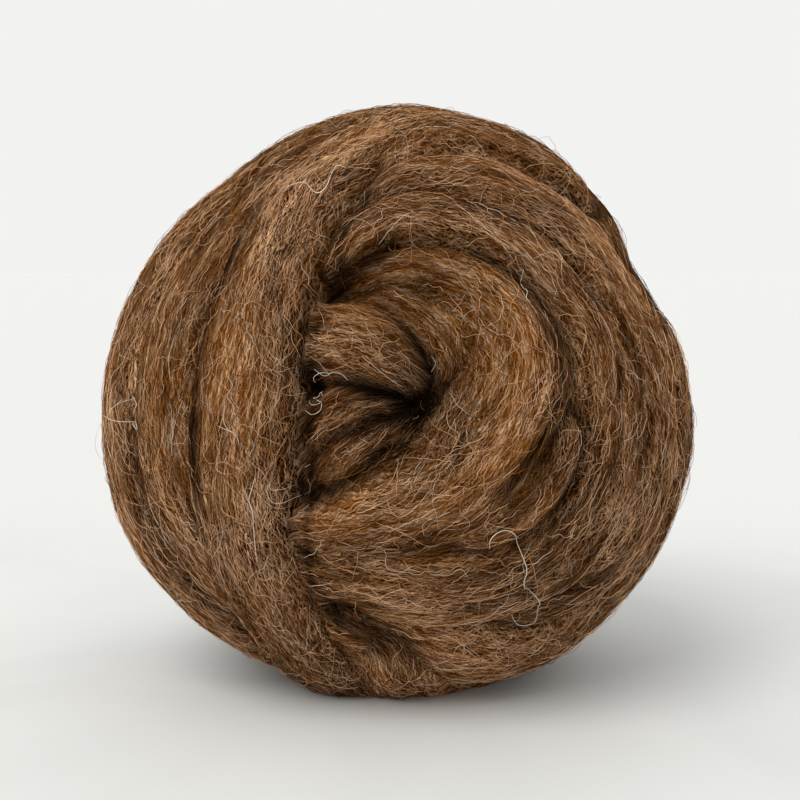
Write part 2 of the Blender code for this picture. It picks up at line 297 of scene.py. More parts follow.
def seen(across, up):
    """Direction of the spot seen so far right of and above the ball's middle, from EYE_DISTANCE away."""
    slant = across * across + up * up + EYE_DISTANCE ** 2
    inside = EYE_DISTANCE ** 4 - slant * (EYE_DISTANCE ** 2 - BALL_RADIUS ** 2)
    reach = (EYE_DISTANCE ** 2 - math.sqrt(max(inside, 0.0))) / slant
    return from_front(reach * across, reach * up, EYE_DISTANCE * (1.0 - reach))


def turned(clock, tilt):
    """Direction at a clock angle, 0 right and 90 up, and a tilt from the front, 90 beside, 180 behind."""
    spread = math.sin(math.radians(tilt))
    across = spread * math.cos(math.radians(clock))
    up = spread * math.sin(math.radians(clock))
    return from_front(across, up, math.cos(math.radians(tilt)))


def from_front(across, up, forward):
    """The unit vector for a right, up and forward part, the front being raised a little to the eye."""
    raised = math.radians(EYE_RAISED)
    vector = np.array((across,
                       up * math.sin(raised) - forward * math.cos(raised),
                       up * math.cos(raised) + forward * math.sin(raised)))
    return vector / np.linalg.norm(vector)


def in_millimetres(column, row):
    """How far right of and above the ball's middle a pixel is seen."""
    return (column - MIDDLE_PIXEL[0]) / PIXELS_PER_MM, (MIDDLE_PIXEL[1] - row) / PIXELS_PER_MM


# The turns of the front and the band of the back: closed or not, then stretches in places seen or turned
FRONT_TURNS = {
    # across and up or clock and tilt, then strand width and height
    # crosses over the left of the front, round below and behind, and back over the top
    "over_band": (True,
        (seen, (-29.5, 46.5, 25, 1.6), (-34, 37, 25, 1.6), (-38, 25, 26, 1.5), (-41, 12, 27, 1.4),
         (-43, -1, 27, 1.4), (-44, -14, 27, 1.4), (-43.5, -27, 26, 1.2), (-40.5, -40, 26, 1),
         (-35, -52, 25, 0.8)),
        (turned, (249, 63, 25, 0.5), (263, 80, 25, 0.5), (279, 95, 25, 0.5), (299, 108, 25, 0.8),
         (320, 116, 25, 1), (342, 118, 25, 1), (3, 113, 25, 0.5), (22, 104, 25, -0.5), (38, 95, 25, 0.6),
         (50, 85, 25, -0.2), (62, 76, 25, -0.8), (73, 69, 25, -1), (86, 63.5, 25, -0.5)),
        (seen, (-16, 61.5, 25, 0.7), (-24, 55.5, 25, 1.4))),
    "left_band": (False,
        (turned, (104, 66, 22, -3), (122, 60, 24, -2.4), (140, 54.5, 25, -2.2), (160, 52, 26, -2),
         (180, 51.5, 26, -1.9), (200, 52, 26, -1.8), (219, 52, 25, -1.6), (236, 54, 25, -1.7),
         (250, 60, 22, -3), (264, 70, 20, -5))),
    "left_edge_band": (False,
        (turned, (80, 84, 22, -2), (104, 80, 24, -1), (130, 73, 25, -0.8), (155, 71, 26, -0.8),
         (180, 70.5, 26, -0.6), (205, 70, 26, -0.8), (228, 69, 25, -1.2), (246, 72, 24, -2),
         (262, 86, 22, -4))),
    "upper_ring": (False,
        (seen, (-16.5, 49, 10, -4), (-5.5, 55.5, 12, -2.2), (7, 58.5, 14, -1.3), (23, 57.5, 18, -0.9),
         (37.5, 51, 20, -0.7), (50, 42, 20, -0.6), (59, 30, 20, -0.6), (65, 17, 20, -0.6),
         (68, 5.5, 21, -0.7), (69, -4, 22, -1), (68.4, -13, 23, -1), (65.5, -26, 23, -1),
         (59.5, -38.5, 21, -1.2), (51, -48.5, 17, -2), (40, -55, 13, -3), (28, -58.5, 9, -4.5))),
    "ring_sliver": (False,
        (seen, (56, 24, 7, -3), (59.5, 13, 9, -1.8), (61.5, 0.5, 10, -1.4), (61, -12, 11, -1.4),
         (58, -24.5, 12, -1.5), (51.5, -37, 13, -1.6), (43, -47.5, 12, -1.8), (30, -54, 12, -2),
         (15, -57, 12, -2.2), (1, -57.5, 12, -2.5), (-12, -56.5, 12, -2.8), (-24, -53, 11, -3.2),
         (-33, -49, 10, -4.5))),
    "wide_ring": (False,
        (seen, (-22, 38, 9, -4.5), (-13.5, 44, 11, -2.6), (-4, 47.5, 12, -1.6), (6, 48, 13, -1),
         (19, 45, 14.5, -0.8), (32.5, 37.5, 17, -0.8), (43, 25.5, 18, -0.8), (50, 12, 18, -0.9),
         (52, -1, 16, -1), (52, -13, 13, -1.2), (47.5, -26, 15, -1.3), (39, -38, 17, -1.2),
         (27, -46, 19, -1.1), (12.5, -50, 19, -1.2), (-1, -50, 17, -1.6), (-13.5, -48.5, 15, -2.2),
         (-25, -46, 14, -2.8), (-34, -43, 12, -4))),
    "inner_ring": (False,
        (seen, (46, 3, 5, -4.5), (45.5, -8.5, 10, -1.8), (41.5, -19, 14, -1.2), (34, -28.5, 15, -1),
         (24, -34.5, 13, -1.3), (14, -36, 10, -2.6), (4, -35, 8, -6))),
    "hook_band": (False,
        (seen, (-18, 33, 9, -7), (-11, 36, 10, -6), (-2, 38, 12, -4.6), (9, 36.5, 16, -3),
         (22, 31, 19, -1.4), (31, 21, 24, -0.2), (34, 9, 27, 0.3), (31.5, -3, 28, 0.3),
         (25.5, -15, 28, 0.1), (15.5, -26, 29, -0.2), (3, -32, 23, -0.8), (-9, -35, 16, -1.8),
         (-20.5, -36.5, 11, -2.8), (-31, -37, 10, -4.5))),
    "eye_upper": (False,
        (seen, (-18, 27, 7, -9), (-8, 30, 10, -7.4), (3, 27, 14, -5.6), (12.5, 19.5, 15, -4.6),
         (17, 10, 13, -5), (16, 2, 9, -7.6), (13, -3, 6, -11))),
    "eye_left": (False,
        (seen, (-30, 16, 18, -5.5), (-23, 16, 20, -4.2), (-13.5, 15, 22, -3.2), (-3, 11, 20, -3.4),
         (6, 6, 14, -5.6), (11.5, 1.5, 8, -11))),
    "eye_lower": (False,
        (seen, (-27, -17, 14, -7.5), (-21.5, -8.5, 15, -5.4), (-13, -3.5, 14, -4.6), (-2.5, -2.5, 10, -6),
         (8, -1.5, 6, -12))),
    "eye_tail": (False,
        (seen, (-26, -31, 10, -9), (-20, -22.5, 14, -6.4), (-12, -15.5, 16, -5), (-2, -10.5, 13, -6.2),
         (6.5, -5, 8, -11))),
    "low_sliver": (False,
        (seen, (-23, -50, 6, -5), (-17, -56, 9, -3.2), (-9, -62, 12, -2.2), (-1, -67, 16, -1)),
        (turned, (273.5, 73, 21, 0.2), (283, 84, 21, 0), (298, 94, 17, -3))),
    "under_ring": (False,
        (seen, (-22, -57, 14, -4), (-12, -62, 18, -2.2), (0, -65.5, 21, -1.5), (12, -67.3, 22, -0.6),
         (25, -67.5, 24, 0)),
        (turned, (302, 74, 24, -0.4), (320, 77, 24, -1), (340, 79, 24, -1), (0, 81, 24, -1),
         (18, 84, 24, -2), (34, 89, 22, -4), (48, 96, 20, -6))),
    # crosses over the back, from beside the turns of the left to beside those of the top
    "back_band": (False,
        (turned, (262, 93, 20, -4.5), (240, 96, 23, -2.2), (221, 103, 25, -0.6), (207, 115, 26, 0.4),
         (196, 130, 26, 0.8), (182, 144, 26, 0.9), (152, 156, 26, 0.9), (104, 157, 26, 0.9),
         (77, 146, 26, 0.8), (71, 132, 26, 0.4), (76, 118, 26, 0), (91, 107, 25, -0.8),
         (110, 101, 23, -2.2), (130, 98, 20, -4.5))),
}

# The plain turns of the sides and back: each tilts from the front, and leans a little to a clock angle
BACK_TURNS = (
    # tilt, lean, lean_clock, width, height
    (92, 5, 200, 26, -1.2),
    (107, 7, 150, 26, -1.0),
    (122, 9, 80, 26, -1.4),
    (138, 8, 320, 25, -1.2),
    (152, 9, 230, 24, -1.6),
    (165, 6, 60, 20, -3.0),
)


def placed(stretches):
    """Rows of direction, width and height from stretches of rows."""
    return [(place(*spot), width, height) for place, *rows in stretches for *spot, width, height in rows]


def back_turn(tilt, lean, lean_clock, width, height):
    """One closed turn round the back, on a circle that leans a little out of square with the front."""
    rows = []
    for clock in range(0, 360, 15):
        shifted = tilt + lean * math.cos(math.radians(clock - lean_clock))
        rows.append((turned(clock, shifted), width, height))
    return True, tuple(rows)


def smooth_turn(closed, rows):
    """A turn as closely spaced points on the unit sphere, with frame, width, height and distance along.

    A closed turn starts and ends at its lowest point, under the ball.
    """
    places = np.array([place for place, _, _ in rows])
    sizes = np.array([(width, height) for _, width, height in rows], dtype=float)
    knots = np.hstack((places, sizes))
    if closed:
        knots = np.vstack((knots[-1:], knots, knots[:2]))
    else:
        knots = np.vstack((2 * knots[:1] - knots[1:2], knots, 2 * knots[-1:] - knots[-2:-1]))
    pieces = []
    for before, start, end, after in zip(knots, knots[1:], knots[2:], knots[3:]):
        length = BALL_RADIUS * np.linalg.norm(end[:3] - start[:3])
        steps = max(2, int(round(length / PATH_STEP)))
        for share in np.arange(steps) / steps:
            pieces.append(catmull_rom(before, start, end, after, share))
    if not closed:
        pieces.append(knots[-2])
    track = np.array(pieces)
    points = unit(track[:, :3])
    if closed:
        ahead = np.roll(points, -1, axis=0) - np.roll(points, 1, axis=0)
    else:
        ahead = np.gradient(points, axis=0)
    tangents = unit(ahead - points * dot(points, ahead)[:, None])
    if closed:
        lowest = np.argmin(points[:, 2])
        order = np.append(np.roll(np.arange(len(points)), -lowest), lowest)
        track, points, tangents = track[order], points[order], tangents[order]
    gaps = BALL_RADIUS * np.linalg.norm(np.diff(points, axis=0), axis=1)
    return {"points": points, "tangents": tangents, "sides": np.cross(points, tangents),
            "width": track[:, 3], "height": track[:, 4], "closed": closed,
            "along": np.concatenate(([0.0], np.cumsum(gaps)))}


def catmull_rom(before, start, end, after, share):
    return 0.5 * (2 * start + (end - before) * share
                  + (2 * before - 5 * start + 4 * end - after) * share ** 2
                  + (3 * start - before - 3 * end + after) * share ** 3)


def unit(vectors):
    return vectors / np.linalg.norm(vectors, axis=-1, keepdims=True)


def dot(first, second):
    return (first * second).sum(axis=-1)


def read_turn(directions, turn):
    """One turn in each direction: its height over the ball's roundness, and places along and across it."""
    nearest = np.argmax(directions @ turn["points"].T, axis=1)
    ahead = BALL_RADIUS * dot(directions, turn["tangents"][nearest])
    across = BALL_RADIUS * dot(directions, turn["sides"][nearest])
    beyond = np.zeros(len(directions))
    if not turn["closed"]:
        beyond = np.where(nearest == 0, np.maximum(-ahead, 0.0), beyond)
        beyond = np.where(nearest == len(turn["points"]) - 1, np.maximum(ahead, 0.0), beyond)
    half = turn["width"][nearest] / 2
    away = np.hypot(across, beyond)
    share = np.minimum(away / half, 1.0)
    rounding = 1.0 - (1.0 - share ** SECTION_POWER) ** (1.0 / SECTION_POWER)
    height = turn["height"][nearest] - 2 * half * SECTION_FLATNESS * rounding
    height -= FLANK_SLOPE * np.maximum(away - half, 0.0)
    behind = dot(directions, turn["points"][nearest]) < LEAST_COSINE
    return np.where(behind, -BALL_RADIUS, height), turn["along"][nearest] + ahead, across


def to_front(directions):
    """The right, up and forward parts of directions, the front being raised towards the eye."""
    raised = math.radians(EYE_RAISED)
    forward = directions[..., 2] * math.sin(raised) - directions[..., 1] * math.cos(raised)
    up = directions[..., 2] * math.cos(raised) + directions[..., 1] * math.sin(raised)
    return directions[..., 0], up, forward


def roundness(directions):
    """The ball's radius without its turns, after its outline, evened out towards front and back."""
    across, up, forward = to_front(directions)
    clock = np.degrees(np.arctan2(up, across)) % 360
    outline = np.interp(clock, OUTLINE_CLOCK, OUTLINE_RADIUS, period=360)
    sideways = 1.0 - forward ** 2
    return BALL_RADIUS + (outline - BALL_RADIUS) * sideways ** 2 - hollow_depth(directions)


def hollow_depth(directions):
    return HOLLOW_DEPTH * np.exp(-(distance_from(directions, HOLLOW_MIDDLE) / HOLLOW_REACH) ** 2)


def distance_from(directions, spot):
    """Distance over the ball from a spot, given as it is seen."""
    return BALL_RADIUS * np.arccos(np.clip(directions @ seen(*spot), -1.0, 1.0))


def core_height(directions):
    """The layer under the turns, lower in the eye of the ball."""
    closeness = np.exp(-(distance_from(directions, EYE_MIDDLE) / EYE_REACH) ** 4)
    return -CORE_DROP - (EYE_DROP - CORE_DROP) * closeness


def joined_height(directions, heights, highest, gap):
    """The height of the turns together: drawn in where two meet, or rounded over where they have felted."""
    drawn = highest - CREASE_DEPTH * np.exp(-gap / CREASE_WIDTH)
    rounded = highest + MERGE_WIDTH * np.log(np.exp((heights - highest) / MERGE_WIDTH).sum(axis=0))
    return drawn + (rounded - drawn) * felted_share(directions)


def felted_share(directions):
    """How far the turns have felted into one another in each direction, from 0 to 1."""
    share = np.zeros(len(directions))
    for across, up, reach, most in MERGES:
        share = np.maximum(share, most * np.exp(-(distance_from(directions, (across, up)) / reach) ** 4))
    return share


TURNS = [smooth_turn(closed, placed(stretches)) for closed, *stretches in FRONT_TURNS.values()]
TURNS += [smooth_turn(*back_turn(*row)) for row in BACK_TURNS]


# ---------------- fixed noise

def lattice(column, row, seed):
    """A fixed value from -1 to 1 for each point of a grid."""
    mixed = (column * 73856093) ^ (row * 19349663) ^ (seed * 83492791)
    mixed = (mixed ^ (mixed >> 13)) * 1274126177 & 0xFFFFFFFF
    mixed = (mixed ^ (mixed >> 16)) * 40503 & 0xFFFFFFFF
    return (mixed ^ (mixed >> 15)) / 2.0 ** 31 - 1.0


def noise(u, v, seed):
    """Smooth noise from -1 to 1 with cells of 1 by 1."""
    column, row = np.floor(u).astype(np.int64), np.floor(v).astype(np.int64)
    right, up = u - column, v - row
    right, up = right * right * (3 - 2 * right), up * up * (3 - 2 * up)
    low = lattice(column, row, seed) * (1 - right) + lattice(column + 1, row, seed) * right
    high = lattice(column, row + 1, seed) * (1 - right) + lattice(column + 1, row + 1, seed) * right
    return low * (1 - up) + high * up


def streaks(rows, found):
    """The sum of rows of noise, drawn out along the strand and shifted from turn to turn."""
    total = np.zeros(len(found["top"]))
    for cell_along, cell_across, amount, shift, seed in rows:
        places = found["along"] / cell_along + shift * (found["top"] + 1), found["across"] / cell_across
        total += amount * noise(*places, seed)
    return total


# ---------------- the fine surface

def survey(directions):
    """What the ball has in each direction, as arrays: radius, turn on top and places on every turn."""
    starts = range(0, len(directions), SURVEY_CHUNK)
    parts = [survey_chunk(directions[start:start + SURVEY_CHUNK]) for start in starts]
    return {key: np.concatenate([part[key] for part in parts], axis=-1) for key in parts[0]}


def survey_chunk(directions):
    readings = np.array([read_turn(directions, turn) for turn in TURNS])
    heights, alongs, acrosses = readings[:, 0], readings[:, 1], readings[:, 2]
    top = heights.argmax(axis=0)
    heights = np.vstack((heights, core_height(directions)))
    second, highest = np.partition(heights, -2, axis=0)[-2:]
    gap = highest - second
    along, across = [np.take_along_axis(every, top[None], axis=0)[0] for every in (alongs, acrosses)]
    form = roundness(directions) + joined_height(directions, heights, highest, gap)
    found = {"form": form, "top": top, "gap": gap, "highest": highest, "heights": heights,
             "alongs": alongs, "acrosses": acrosses, "along": along, "across": across}
    return found | {"radius": form + streaks(RELIEF, found)}


def warmth(directions, found):
    """How orange the wool is, from 0 to 1: patches on the front, and long streaks everywhere."""
    warm = MEAN_WARMTH + streaks(WARM_STREAKS, found)
    return np.clip(warm + PATCH_WARMTH * patches(directions, WARM_PATCHES), 0.0, 1.0)


def tone_and_painted_light(directions, found):
    """Tone and painted light, -1 to 1: streaks all over, on the front patches of painted light and seam shade.
    """
    light = streaks(TONE_STREAKS, found) + patches(directions, PAINTED_LIGHT_AND_TONE_PATCHES)
    return np.clip(light - seam_shade(directions), -1.0, 1.0)


def seen_pixel(directions):
    """The pixel of the picture that shows each direction, and whether it faces the picture at all."""
    right, up, forward = to_front(directions)
    scale = PIXELS_PER_MM * BALL_RADIUS * EYE_DISTANCE / (EYE_DISTANCE - BALL_RADIUS * forward)
    in_front = forward > BALL_RADIUS / EYE_DISTANCE
    return MIDDLE_PIXEL[0] + scale * right, MIDDLE_PIXEL[1] - scale * up, in_front


def patches(directions, rows):
    """The sum of soft patches, each placed and sized as it is seen from the front."""
    column, row, in_front = seen_pixel(directions)
    right, above = in_millimetres(column, row)
    total = np.zeros(len(directions))
    for across, up, reach_across, reach_up, amount in rows:
        total += amount * np.exp(-((right - across) / reach_across) ** 2 - ((above - up) / reach_up) ** 2)
    return total * in_front


def seam_shade(directions):
    """How dark the painted shade along the seams between the turns makes the wool."""
    column, row, in_front = seen_pixel(directions)
    place = np.stack((column, row), axis=-1)
    total = np.zeros(len(directions))
    for darkness, reach, pixels in PAINTED_SEAM_SHADES:
        nearest = np.full(len(directions), np.inf)
        for start, end in zip(np.array(pixels, float), np.array(pixels[1:], float)):
            run = end - start
            share = np.clip(dot(place - start, run) / dot(run, run), 0.0, 1.0)
            nearest = np.minimum(nearest, np.linalg.norm(place - start - share[:, None] * run, axis=1))
        total = np.maximum(total, darkness * np.exp(-(nearest / reach) ** 2))
    return total * in_front


def shading(directions, found):
    """Painted shade, from 0 to 1: how deep the wool lies in a crease or in the eye of the ball."""
    near_crease = sum(most * np.exp(-found["gap"] / reach) for most, reach in CREASE_SHADES)
    near_crease *= 1.0 - felted_share(directions)
    depth = hollow_depth(directions) - found["highest"]
    return np.clip(near_crease + np.clip((depth - SHADED_DEPTH) / DARK_DEPTH, 0.0, 1.0), 0.0, 1.0)


def on_floor(points):
    """Points in millimetres, those under the floor lifted onto it."""
    points[..., 2] = np.maximum(points[..., 2], 0.0)
    return points


def cube_grid():
    """A sphere as six square grids, closer together towards the front: directions, quads and atlas places."""
    line = np.tan(np.linspace(-1, 1, GRID_STEPS + 1) * math.pi / 4)
    number = np.arange((GRID_STEPS + 1) ** 2).reshape(GRID_STEPS + 1, -1)
    corners = np.stack((number[:-1, :-1], number[1:, :-1], number[1:, 1:], number[:-1, 1:]), axis=-1)
    step = np.linspace(0.01, 0.99, GRID_STEPS + 1)
    sheets, quads, places = [], [], []
    for face in range(6):
        axis = np.zeros(3)
        axis[face // 2] = 1.0 - 2.0 * (face % 2)
        first = np.roll(axis, 1)
        second = np.cross(axis, first)
        sheet = axis + line[:, None, None] * first + line[None, :, None] * second
        sheets.append(sheet.reshape(-1, 3))
        quads.append(corners.reshape(-1, 4) + face * number.size)
        column, row = face % 3, face // 3
        atlas = np.stack(np.meshgrid((column + step) / 3, (row + step) / 2, indexing="ij"), axis=-1)
        places.append(atlas.reshape(-1, 2))
    directions, quads = unit(np.vstack(sheets)), np.vstack(quads)
    atlas = np.vstack(places)[quads]
    _, kept, merged = np.unique(np.round(directions, 6), axis=0, return_index=True, return_inverse=True)
    return unit(unit(directions[kept]) + FRONT_PULL * seen(0, 0)), merged.reshape(-1)[quads], atlas


def evened(values, quads, rounds):
    """Values of the corners of a grid, evened out with those around them."""
    shared = np.bincount(quads.ravel())
    for _ in range(rounds):
        middles = np.repeat(values[quads].mean(axis=1), 4)
        values = np.bincount(quads.ravel(), weights=middles) / shared
    return values


def new_mesh(name, points, faces, maps):
    """A mesh object from points in millimetres, faces of one size, and maps of their corners' places."""
    mesh = bpy.data.meshes.new(name)
    sides = faces.shape[1]
    mesh.vertices.add(len(points))
    mesh.vertices.foreach_set("co", (points * MM).astype(np.float32).ravel())
    mesh.loops.add(faces.size)
    mesh.loops.foreach_set("vertex_index", faces.astype(np.int32).ravel())
    mesh.polygons.add(len(faces))
    mesh.polygons.foreach_set("loop_start", np.arange(0, faces.size, sides, dtype=np.int32))
    for map_name, places in maps.items():
        mesh.uv_layers.new(name=map_name).data.foreach_set("uv", places.astype(np.float32).ravel())
    mesh.update(calc_edges=True)
    mesh.validate()
    mesh.shade_smooth()
    made = bpy.data.objects.new(name, mesh)
    bpy.context.scene.collection.objects.link(made)
    return made


def add_values(mesh, name, values):
    attribute = mesh.attributes.new(name, "FLOAT", "POINT")
    attribute.data.foreach_set("value", values.astype(np.float32))


def strand_places(quads, found):
    """The places along and across a strand for the corners of every quad, all read on one turn."""
    clearest = np.take_along_axis(quads, found["gap"][quads].argmax(axis=1)[:, None], axis=1)
    turn = found["top"][clearest]
    along, across = found["alongs"][turn, quads], found["acrosses"][turn, quads]
    lengths = np.array([row["along"][-1] if row["closed"] else np.inf for row in TURNS])[turn]
    past_start = along < along.max(axis=1, keepdims=True) - lengths / 2
    along = np.where(past_start, along + lengths, along) + STRAND_STRIP * (turn + 1)
    return np.stack((along, across), axis=-1)


def wool_surface():
    directions, quads, atlas = cube_grid()
    found = survey(directions)
    radius = evened(found["form"], quads, EVENING_ROUNDS) + streaks(RELIEF, found)
    points = on_floor(directions * radius[:, None] + MIDDLE)
    surface = new_mesh("wool_surface", points, quads,
                       {"OFBake": atlas.reshape(-1, 2), "strand": strand_places(quads, found).reshape(-1, 2)})
    # painted shade: the crease values darken the surface's colour in creases and in the eye
    add_values(surface.data, "crease", evened(shading(directions, found), quads, 1))
    add_values(surface.data, "warmth", warmth(directions, found))
    add_values(surface.data, "tone_and_painted_light", evened(tone_and_painted_light(directions, found), quads, 1))
    surface.data.materials.append(surface_material())
    return surface


# ---------------- fibres

def fibre_seeds(generator, count):
    """Fibre middles, closer together in front and fewer in dark wool and painted shade, with their survey."""
    tried = 2 * count
    seeds = unit(unit(generator.normal(size=(tried, 3))) + FIBRE_PULL * seen(0, 0))
    found = survey(seeds)
    in_shade = shading(seeds, found)
    dark = np.maximum(-tone_and_painted_light(seeds, found), 0.0)
    kept = np.flatnonzero(generator.random(tried) > HIDDEN_THINNING * in_shade + DARK_THINNING * dark)[:count]
    return seeds[kept], {key: values[..., kept] for key, values in found.items()}, in_shade[kept]


def fibre_colour(generator, warm, light, in_shade):
    """A place 0 to 1 among the wool's colours: more orange in warm wool, painted shade deep in creases and
    eye.
    """
    common, in_dark, in_warm, by_light = np.array(FIBRE_SHADES).T
    dark = np.maximum(-light, 0.0)
    shares = common + in_dark * dark[:, None] + in_warm * warm[:, None]
    shares = shares * (1.0 + by_light * light[:, None])
    shares = np.cumsum(shares / shares.sum(axis=-1, keepdims=True), axis=-1)
    shade = (generator.random(len(warm))[:, None] > shares).sum(axis=-1)
    # painted shade: fibres deep in creases and the eye take a dark colour
    shade = np.where(generator.random(len(warm)) < PAINTED_SHADE_SHARE * in_shade, PAINTED_SHADE_GROUP, shade)
    return (shade + 0.15 + 0.7 * generator.random(len(warm))) / len(FIBRE_SHADES)


def fibre_bends(generator, count, shortest, longest, rings, slant, crimp, crimp_length, wander):
    """How far the rings of each fibre lie forth and to the side of its middle, along its crimped course."""
    length = generator.uniform(shortest, longest, (count, 1))
    run = length * np.linspace(-0.5, 0.5, rings)
    step = length / (rings - 1)
    wave = crimp_length * generator.uniform(*CRIMP_LENGTH_SPREAD, (count, 1))
    heading = generator.normal(0, slant, (count, 1))
    swing = crimp * generator.uniform(*CRIMP_SPREAD, (count, 1))
    phase = generator.random((count, 1))
    heading = heading + swing * np.sin(2 * math.pi * (run / wave + phase))
    heading += np.cumsum(smoothed(generator.normal(0, wander, (count, rings))) * np.sqrt(step), axis=1)
    forth = np.cumsum(np.cos(heading) * step, axis=1)
    sideways = np.cumsum(np.sin(heading) * step, axis=1)
    return forth - forth[:, rings // 2, None], sideways - sideways[:, rings // 2, None]


def fibre_radius(generator, radius, lift):
    """Fibres over a surface of this radius: across its hollows, lifted unevenly, tucked in at both tips."""
    count, rings = radius.shape
    share = np.linspace(0, 1, rings)
    bridged = np.maximum(smoothed(smoothed(radius)), radius)
    above = generator.gamma(LIFT_SHAPE, lift / LIFT_SHAPE, (count, 1)) * np.sin(math.pi * share) ** 0.7
    above = above + LIFT_UNEVENNESS * lift * smoothed(generator.normal(0, 1, (count, rings)))
    return np.maximum(bridged + above, radius + LEAST_LIFT) - TIP_DEPTH * np.abs(2 * share - 1) ** 8


def fibres(name, count, shortest, longest, rings, thickness, slant, crimp, crimp_length, wander, lift,
           loose, seed):
    """Crimped fibres along the strand: loose over all, or cut off where another turn covers them."""
    generator = np.random.default_rng(seed)
    seeds, found, in_shade = fibre_seeds(generator, count)
    ahead = strand_direction(seeds, found)
    side = np.cross(seeds, ahead)
    forth, sideways = fibre_bends(generator, count, shortest, longest, rings, slant, crimp, crimp_length,
                                  wander)

    def place(forth, sideways):
        offset = forth[..., None] * ahead[:, None] + sideways[..., None] * side[:, None]
        return unit(seeds[:, None] + offset / BALL_RADIUS)

    if not loose:
        kept = shown_share(place(forth, sideways), found["top"])
        forth, sideways = resampled(forth, kept), resampled(sideways, kept)
    directions = place(forth, sideways)
    radius = survey(directions.reshape(-1, 3))["radius"].reshape(count, rings)
    radius = fibre_radius(generator, radius, lift)
    points = on_floor(directions * radius[..., None] + MIDDLE)
    taper = 1 - 0.5 * np.abs(np.linspace(-1, 1, rings)) ** 3
    thick = thickness * generator.uniform(*THICKNESS_SPREAD, (count, 1)) * taper
    colour = fibre_colour(generator, warmth(seeds, found), tone_and_painted_light(seeds, found), in_shade)
    return fibre_piece(name, points, thick, directions, colour)


def shown_share(directions, top):
    """From where to where each row of directions stays on its own turn, as shares of the row."""
    count, rings = directions.shape[:2]
    found = survey(directions.reshape(-1, 3))
    heights = found["heights"].reshape(-1, count, rings)
    own = np.maximum(np.take_along_axis(heights, top[None, :, None], axis=0)[0], heights[-1])
    covered = heights.max(axis=0) - own > COVER_HEIGHT
    covered |= (shading(directions.reshape(-1, 3), found) > CUT_SHADING).reshape(count, rings)
    half = rings // 2
    end = np.ones((count, 1), bool)
    back = np.argmax(np.hstack((covered[:, half::-1], end)), axis=1)
    forth = np.argmax(np.hstack((covered[:, half:], end)), axis=1)
    return (half - np.maximum(back - 1, 1)) / (rings - 1), (half + np.maximum(forth - 1, 1)) / (rings - 1)


def resampled(rows, kept):
    """Rows of values, read again at even steps over the kept share of each row."""
    rings = rows.shape[1]
    share = np.linspace(0, 1, rings)
    spot = (kept[0][:, None] * (1 - share) + kept[1][:, None] * share) * (rings - 1)
    first = np.clip(spot.astype(int), 0, rings - 2)
    before, after = np.take_along_axis(rows, first, axis=1), np.take_along_axis(rows, first + 1, axis=1)
    return before + (after - before) * (spot - first)


def smoothed(rows):
    """Rows of values, each averaged with its neighbours."""
    padded = np.pad(rows, ((0, 0), (1, 1)), mode="edge")
    return (padded[:, :-2] + 2 * padded[:, 1:-1] + padded[:, 2:]) / 4


def strand_direction(directions, found):
    """The unit tangent of the turn on top in each direction."""
    ahead = np.zeros_like(directions)
    for index, turn in enumerate(TURNS):
        mine = found["top"] == index
        if mine.any():
            nearest = np.argmax(directions[mine] @ turn["points"].T, axis=1)
            ahead[mine] = turn["tangents"][nearest]
    return unit(ahead - directions * dot(directions, ahead)[:, None])


def fibre_piece(name, points, thickness, outward, colour):
    """Closed three-sided tubes through rows of points, joined in one mesh.

    The map gives each fibre a column by its colour and runs along the fibre from bottom to top.
    """
    count, rings = points.shape[:2]
    ahead = unit(np.gradient(points, axis=1))
    side = unit(np.cross(ahead, outward))
    above = np.cross(side, ahead)
    angles = math.pi / 2 + np.arange(3) * 2 * math.pi / 3
    spread = side[:, :, None] * np.cos(angles)[:, None] + above[:, :, None] * np.sin(angles)[:, None]
    vertices = points[:, :, None] + spread * (thickness / 2)[:, :, None, None]
    ring, corner = np.meshgrid(np.arange(rings - 1), np.arange(3), indexing="ij")
    here, beside = ring * 3 + corner, ring * 3 + (corner + 1) % 3
    sides = np.stack((here, beside, beside + 3, here, beside + 3, here + 3), axis=-1).reshape(-1, 3)
    last = 3 * rings - 3
    faces = np.vstack((sides, ((2, 1, 0), (last, last + 1, last + 2))))
    columns = np.stack((corner, corner + 1, corner + 1, corner, corner + 1, corner), axis=-1).reshape(-1, 3)
    rows = np.stack((ring, ring, ring + 1, ring, ring + 1, ring + 1), axis=-1).reshape(-1, 3)
    columns = np.vstack((columns, ((2, 1, 0), (0, 1, 2)))) / 3
    rows = np.vstack((rows, ((0, 0, 0.5), (rings - 1, rings - 1, rings - 1.5)))) / (rings - 1)
    column = np.floor(colour * COLOUR_COLUMNS)
    across_map = (column[:, None, None] + 0.1 + 0.8 * columns) / COLOUR_COLUMNS
    up_map = np.broadcast_to(0.02 + 0.96 * rows, across_map.shape)
    all_faces = faces[None] + (np.arange(count) * 3 * rings)[:, None, None]
    piece = new_mesh(name, vertices.reshape(-1, 3), all_faces.reshape(-1, 3),
                     {"OFBake": np.stack((across_map, up_map), axis=-1).reshape(-1, 2)})
    piece.data.materials.append(fibre_material())
    return piece


